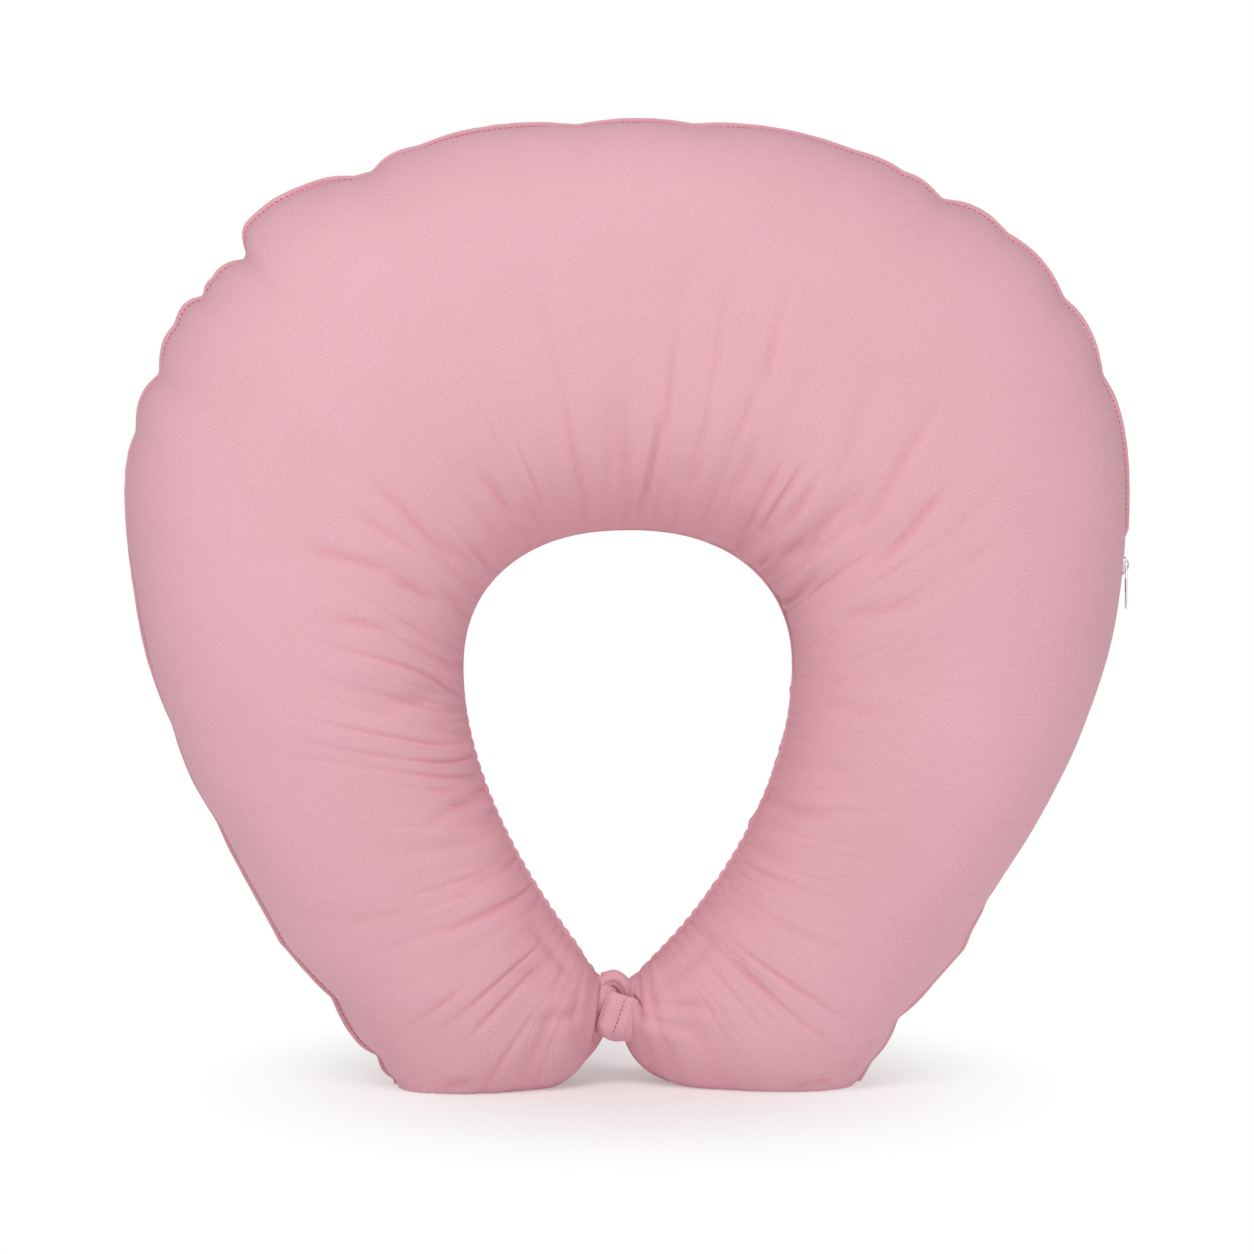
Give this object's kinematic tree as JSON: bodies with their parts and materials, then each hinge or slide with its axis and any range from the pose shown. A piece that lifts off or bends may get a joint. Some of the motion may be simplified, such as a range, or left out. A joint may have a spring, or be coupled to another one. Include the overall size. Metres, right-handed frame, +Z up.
{
  "type": "nursing pillow",
  "caption": "Stuffed horseshoe nursing pillow in a removable zipped cotton cover, its two tips held together by a fabric loop, standing on its two lobes.",
  "frame": {"origin": "on the floor under the middle of the width and of the depth, at the bottom centre of the bounding box", "axes": "+X across the width, towards the side that holds the zip; +Y from front to back, with the front facing -Y; +Z up"},
  "size_m": [0.5657, 0.17, 0.544],
  "materials": {
    "cover_cotton": "matte",
    "seam_binding": "matte",
    "casing_cotton": "matte",
    "polyester_fibre": "matte",
    "label_tape": "satin",
    "zip_tape": "matte",
    "zip_nylon": "satin",
    "nickel_plate": "satin"
  },
  "bodies": {
    "pillow": {"cover_front_panel": "cover_cotton", "cover_back_panel": "cover_cotton", "inner_casing_front": "casing_cotton", "inner_casing_back": "casing_cotton", "fibre_fill": "polyester_fibre", "outer_seam_binding": "seam_binding", "lower_right_seam_binding": "seam_binding", "inner_seam_binding": "seam_binding", "care_label": "label_tape", "left_tie_tab": "cover_cotton", "right_tie_loop": "cover_cotton", "zip_tape_front": "zip_tape", "zip_tape_back": "zip_tape", "zip_coil_front": "zip_nylon", "zip_coil_back": "zip_nylon", "zip_top_stop": "nickel_plate", "zip_bottom_stop": "nickel_plate"},
    "slider": {"zip_slider": "nickel_plate"},
    "pull": {"zip_pull_tab": "nickel_plate"}
  },
  "joints": [
    {"name": "zip_travel", "type": "hinge", "parent": "pillow", "child": "slider", "pos_m": [-0.075, 0, 0.33], "axis": [0, 1, 0], "range_deg": [0, 29.5]},
    {"name": "pull_swing", "type": "hinge", "parent": "slider", "child": "pull", "pos_m": [0.28095, 0, 0.29171], "axis": [0, -1, 0], "range_deg": [-5, 150]}
  ]
}
